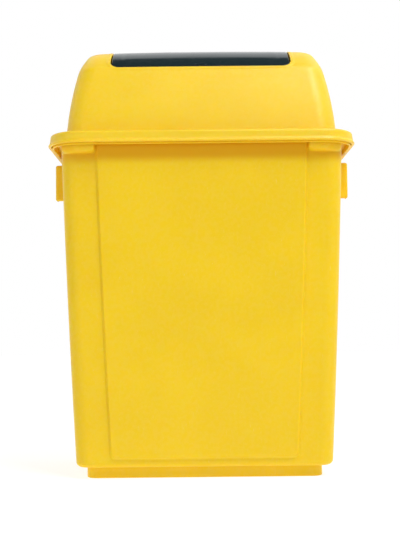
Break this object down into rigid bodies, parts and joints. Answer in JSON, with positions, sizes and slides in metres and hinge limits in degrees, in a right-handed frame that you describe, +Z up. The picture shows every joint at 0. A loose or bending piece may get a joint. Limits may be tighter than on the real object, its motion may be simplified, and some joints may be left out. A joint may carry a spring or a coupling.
{
  "type": "swing-top waste bin",
  "caption": "Tapered rectangular waste bin with a lift-off hood, an arched flap that swings both ways in the hood, and a lifting grip on each side.",
  "frame": {"origin": "centre of the foot's underside, on the surface that the bin stands on", "axes": "+Z up, the front panel faces -Y, the side grips are at -X and +X"},
  "size_m": [0.427, 0.321, 0.6165],
  "materials": {
    "yellow_tub": "semi-gloss moulded polypropylene, opaque warm yellow, lightly scuffed",
    "yellow_hood": "semi-gloss moulded polypropylene, opaque warm yellow",
    "dark_flap": "glossy moulded polypropylene, dark slate grey",
    "pin_steel": "bright turned steel"
  },
  "bodies": {
    "tub": {"bin_body": "yellow_tub", "side_grip_left": "yellow_tub", "side_grip_right": "yellow_tub"},
    "hood": {"hood": "yellow_hood", "pivot_pin_left": "pin_steel", "pivot_pin_right": "pin_steel"},
    "flap": {"swing_flap": "dark_flap"}
  },
  "joints": [
    {"name": "hood_lift", "type": "slide", "parent": "tub", "child": "hood", "axis": [0, 0, 1], "range_m": [0, 0.12]},
    {"name": "flap_swing", "type": "hinge", "parent": "hood", "child": "flap", "pos_m": [0, 0, 0.607], "axis": [1, 0, 0], "range_deg": [-75, 75]}
  ]
}
